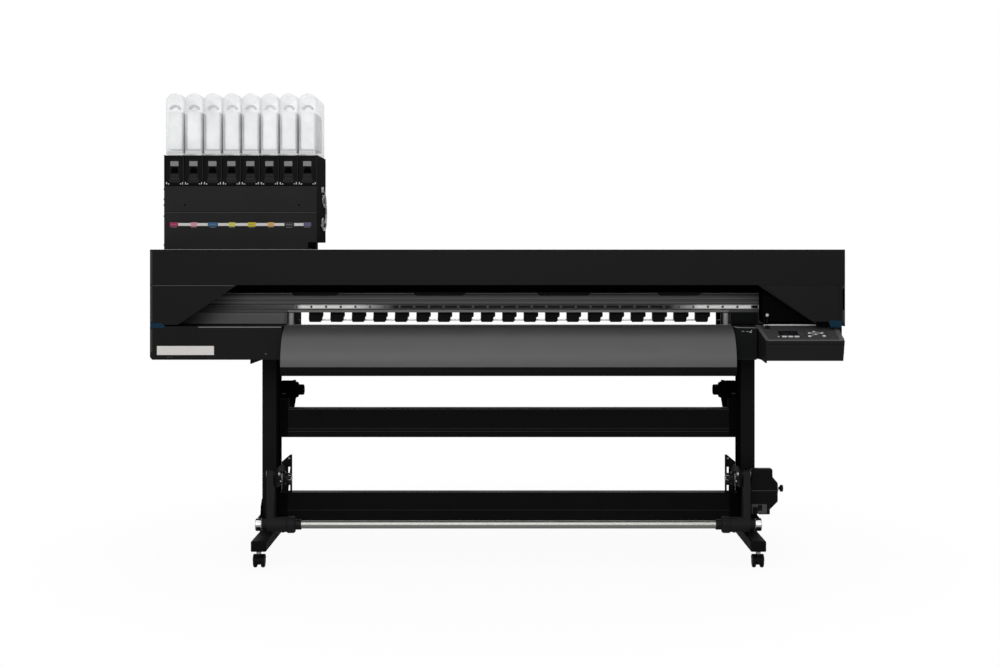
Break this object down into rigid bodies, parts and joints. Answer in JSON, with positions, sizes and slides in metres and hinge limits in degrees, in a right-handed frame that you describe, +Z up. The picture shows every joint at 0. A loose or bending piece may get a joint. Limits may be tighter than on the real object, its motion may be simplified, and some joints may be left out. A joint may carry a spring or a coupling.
{
  "type": "wide-format roll printer",
  "caption": "Roll-to-roll wide-format inkjet printer on a castered stand, with ink unit, hinged hood, curved apron, control panel, take-up unit and tension bar.",
  "frame": {"origin": "on the floor under the middle of the overall box", "axes": "+X to the right seen from the front, +Y to the rear, +Z up"},
  "size_m": [2.776, 0.88, 1.9106],
  "materials": {
    "body_paint": "fine satin texture",
    "stand_paint": "fine satin texture",
    "chassis_paint": "satin",
    "apron_paint": "satin",
    "grey_aluminium": "grey anodised",
    "bright_steel": "brushed",
    "black_plastic": "moulded",
    "panel_plastic": "moulded",
    "screen": "glossy",
    "clear_cover": "translucent",
    "rubber": "smooth"
  },
  "bodies": {
    "printer": {"apron": "apron_paint", "capping_station": "black_plastic", "chassis": "chassis_paint", "control_box": "panel_plastic", "display": "screen", "ink_cabinet": "body_paint", "ink_tray": "body_paint", "left_case": "body_paint", "left_foot": "stand_paint", "left_leg": "stand_paint", "left_side_cover": "body_paint", "left_take_up_bracket": "stand_paint", "linear_rail": "bright_steel", "lower_beam": "stand_paint", "platen": "grey_aluminium", "rear_cover": "body_paint", "rear_media_guide": "chassis_paint", "right_case": "body_paint", "right_foot": "stand_paint", "right_leg": "stand_paint", "right_side_cover": "body_paint", "right_take_up_bracket": "stand_paint", "take_up_motor_box": "black_plastic", "upper_beam": "stand_paint", "y_bar": "grey_aluminium"},
    "front_left_fork": {"front_left_caster_fork": "black_plastic"},
    "front_left_wheels": {"front_left_caster_wheels": "rubber"},
    "front_right_fork": {"front_right_caster_fork": "black_plastic"},
    "front_right_wheels": {"front_right_caster_wheels": "rubber"},
    "rear_left_fork": {"rear_left_caster_fork": "black_plastic"},
    "rear_left_wheels": {"rear_left_caster_wheels": "rubber"},
    "rear_right_fork": {"rear_right_caster_fork": "black_plastic"},
    "rear_right_wheels": {"rear_right_caster_wheels": "rubber"},
    "hood": {"hood": "body_paint"},
    "carriage": {"carriage": "black_plastic"},
    "clamp_lever": {"clamp_lever": "bright_steel"},
    "pinch_bar": {"pinch_bar": "black_plastic"},
    "pinch_rollers": {"pinch_rollers": "rubber"},
    "grid_roller": {"grid_roller": "bright_steel"},
    "idle_flange": {"take_up_idle_flange": "black_plastic"},
    "drive_flange": {"take_up_drive_flange": "black_plastic"},
    "take_up_knob": {"take_up_knob": "black_plastic"},
    "take_up_switch": {"take_up_switch": "black_plastic"},
    "dancer": {"left_dancer_arm": "black_plastic", "right_dancer_arm": "black_plastic"},
    "tension_tube": {"tension_tube": "bright_steel"},
    "left_roll_holder": {"left_roll_holder": "stand_paint"},
    "left_roll_flange": {"left_roll_flange": "black_plastic"},
    "right_roll_holder": {"right_roll_holder": "stand_paint"},
    "right_roll_flange": {"right_roll_flange": "black_plastic"},
    "function_keys": {"function_keys": "black_plastic"},
    "jog_pad": {"jog_pad": "black_plastic"},
    "ink_pack_1": {"ink_pack_1": "clear_cover"},
    "ink_pack_2": {"ink_pack_2": "clear_cover"},
    "ink_pack_3": {"ink_pack_3": "clear_cover"},
    "ink_pack_4": {"ink_pack_4": "clear_cover"},
    "ink_pack_5": {"ink_pack_5": "clear_cover"},
    "ink_pack_6": {"ink_pack_6": "clear_cover"},
    "ink_pack_7": {"ink_pack_7": "clear_cover"},
    "ink_pack_8": {"ink_pack_8": "clear_cover"}
  },
  "joints": [
    {"name": "front_left_swivel", "type": "hinge", "parent": "printer", "child": "front_left_fork", "pos_m": [-0.947, -0.39, 0.0725], "axis": [0, 0, 1], "continuous": true},
    {"name": "front_left_roll", "type": "hinge", "parent": "front_left_fork", "child": "front_left_wheels", "pos_m": [-0.947, -0.376, 0.025], "axis": [1, 0, 0], "continuous": true},
    {"name": "front_right_swivel", "type": "hinge", "parent": "printer", "child": "front_right_fork", "pos_m": [1.035, -0.39, 0.0725], "axis": [0, 0, 1], "continuous": true},
    {"name": "front_right_roll", "type": "hinge", "parent": "front_right_fork", "child": "front_right_wheels", "pos_m": [1.035, -0.376, 0.025], "axis": [1, 0, 0], "continuous": true},
    {"name": "rear_left_swivel", "type": "hinge", "parent": "printer", "child": "rear_left_fork", "pos_m": [-0.947, 0.39, 0.0725], "axis": [0, 0, 1], "continuous": true},
    {"name": "rear_left_roll", "type": "hinge", "parent": "rear_left_fork", "child": "rear_left_wheels", "pos_m": [-0.947, 0.404, 0.025], "axis": [1, 0, 0], "continuous": true},
    {"name": "rear_right_swivel", "type": "hinge", "parent": "printer", "child": "rear_right_fork", "pos_m": [1.035, 0.39, 0.0725], "axis": [0, 0, 1], "continuous": true},
    {"name": "rear_right_roll", "type": "hinge", "parent": "rear_right_fork", "child": "rear_right_wheels", "pos_m": [1.035, 0.404, 0.025], "axis": [1, 0, 0], "continuous": true},
    {"name": "hood_hinge", "type": "hinge", "parent": "printer", "child": "hood", "pos_m": [0, -0.166, 1.264], "axis": [-1, 0, 0], "range_deg": [0, 70]},
    {"name": "carriage_travel", "type": "slide", "parent": "printer", "child": "carriage", "axis": [-1, 0, 0], "range_m": [0, 2.3]},
    {"name": "clamp_lever_turn", "type": "hinge", "parent": "printer", "child": "clamp_lever", "pos_m": [1.081, -0.327, 0.95182], "axis": [1, 0, 0], "range_deg": [0, 60]},
    {"name": "pinch_drop", "type": "slide", "parent": "printer", "child": "pinch_bar", "axis": [0, 0, -1], "range_m": [0, 0.0145]},
    {"name": "pinch_spin", "type": "hinge", "parent": "pinch_bar", "child": "pinch_rollers", "pos_m": [0.044, -0.14, 0.974], "axis": [1, 0, 0], "continuous": true},
    {"name": "grid_spin", "type": "hinge", "parent": "printer", "child": "grid_roller", "pos_m": [0.044, -0.14, 0.938], "axis": [1, 0, 0], "continuous": true},
    {"name": "idle_flange_spin", "type": "hinge", "parent": "printer", "child": "idle_flange", "pos_m": [-0.876, -0.24, 0.336], "axis": [1, 0, 0], "continuous": true},
    {"name": "drive_flange_spin", "type": "hinge", "parent": "printer", "child": "drive_flange", "pos_m": [0.964, -0.24, 0.336], "axis": [1, 0, 0], "continuous": true},
    {"name": "knob_turn", "type": "hinge", "parent": "printer", "child": "take_up_knob", "pos_m": [1.13, -0.23, 0.2925], "axis": [1, 0, 0], "continuous": true},
    {"name": "switch_rock", "type": "hinge", "parent": "printer", "child": "take_up_switch", "pos_m": [1.057, -0.294, 0.2235], "axis": [1, 0, 0], "range_deg": [-6, 6]},
    {"name": "dancer_swing", "type": "hinge", "parent": "printer", "child": "dancer", "pos_m": [0.044, -0.34, 0.366], "axis": [1, 0, 0], "range_deg": [-60, 5]},
    {"name": "tube_spin", "type": "hinge", "parent": "dancer", "child": "tension_tube", "pos_m": [0.044, -0.34, 0.164], "axis": [1, 0, 0], "continuous": true},
    {"name": "left_holder_slide", "type": "slide", "parent": "printer", "child": "left_roll_holder", "axis": [1, 0, 0], "range_m": [0, 0.5]},
    {"name": "left_roll_spin", "type": "hinge", "parent": "left_roll_holder", "child": "left_roll_flange", "pos_m": [-0.885, 0.23, 0.654], "axis": [1, 0, 0], "continuous": true},
    {"name": "right_holder_slide", "type": "slide", "parent": "printer", "child": "right_roll_holder", "axis": [-1, 0, 0], "range_m": [0, 0.5]},
    {"name": "right_roll_spin", "type": "hinge", "parent": "right_roll_holder", "child": "right_roll_flange", "pos_m": [0.973, 0.23, 0.654], "axis": [1, 0, 0], "continuous": true},
    {"name": "function_keys_press", "type": "slide", "parent": "printer", "child": "function_keys", "axis": [0, 0.3498, -0.9368], "range_m": [0, 0.001], "stiffness_N_per_m": 800},
    {"name": "jog_pad_press", "type": "slide", "parent": "printer", "child": "jog_pad", "axis": [0, 0.3498, -0.9368], "range_m": [0, 0.001], "stiffness_N_per_m": 800},
    {"name": "ink_pack_1_pull", "type": "slide", "parent": "printer", "child": "ink_pack_1", "axis": [0, -1, 0], "range_m": [0, 0.29]},
    {"name": "ink_pack_2_pull", "type": "slide", "parent": "printer", "child": "ink_pack_2", "axis": [0, -1, 0], "range_m": [0, 0.29]},
    {"name": "ink_pack_3_pull", "type": "slide", "parent": "printer", "child": "ink_pack_3", "axis": [0, -1, 0], "range_m": [0, 0.29]},
    {"name": "ink_pack_4_pull", "type": "slide", "parent": "printer", "child": "ink_pack_4", "axis": [0, -1, 0], "range_m": [0, 0.29]},
    {"name": "ink_pack_5_pull", "type": "slide", "parent": "printer", "child": "ink_pack_5", "axis": [0, -1, 0], "range_m": [0, 0.29]},
    {"name": "ink_pack_6_pull", "type": "slide", "parent": "printer", "child": "ink_pack_6", "axis": [0, -1, 0], "range_m": [0, 0.29]},
    {"name": "ink_pack_7_pull", "type": "slide", "parent": "printer", "child": "ink_pack_7", "axis": [0, -1, 0], "range_m": [0, 0.29]},
    {"name": "ink_pack_8_pull", "type": "slide", "parent": "printer", "child": "ink_pack_8", "axis": [0, -1, 0], "range_m": [0, 0.29]}
  ],
  "couplings": [
    {"joint": "clamp_lever_turn", "follows": "pinch_drop", "rad_per_m": 72.2}
  ]
}
